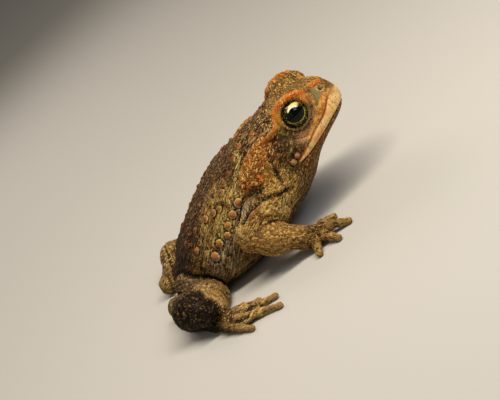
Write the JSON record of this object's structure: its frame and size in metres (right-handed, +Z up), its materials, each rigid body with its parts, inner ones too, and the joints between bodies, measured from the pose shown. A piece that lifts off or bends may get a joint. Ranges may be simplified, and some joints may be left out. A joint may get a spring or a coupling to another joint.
{
  "type": "cane toad model",
  "caption": "Still, life-size cane toad sitting with its chest raised and legs folded, with warty skin, bony head ridges, large glands behind the ears and spread digits",
  "frame": {"origin": "on the floor, in the middle of the toad's footprint", "axes": "+X points the way the toad faces, +Y to its left, +Z up"},
  "size_m": [0.1082, 0.1228, 0.0477],
  "materials": {
    "skin": "satin",
    "gland": "satin",
    "eye": "gloss"
  },
  "bodies": {
    "root": {"torso": "skin", "head": "skin", "lower_jaw": "skin", "parotoid_gland_right": "gland", "parotoid_gland_left": "gland", "tympanum_right": "skin", "tympanum_left": "skin", "eye_right": "eye", "eye_left": "eye", "upper_arm_right": "skin", "upper_arm_left": "skin", "forearm_right": "skin", "forearm_left": "skin", "hand_right": "skin", "hand_left": "skin", "thigh_right": "skin", "thigh_left": "skin", "shank_right": "skin", "shank_left": "skin", "foot_right": "skin", "foot_left": "skin"}
  },
  "joints": []
}
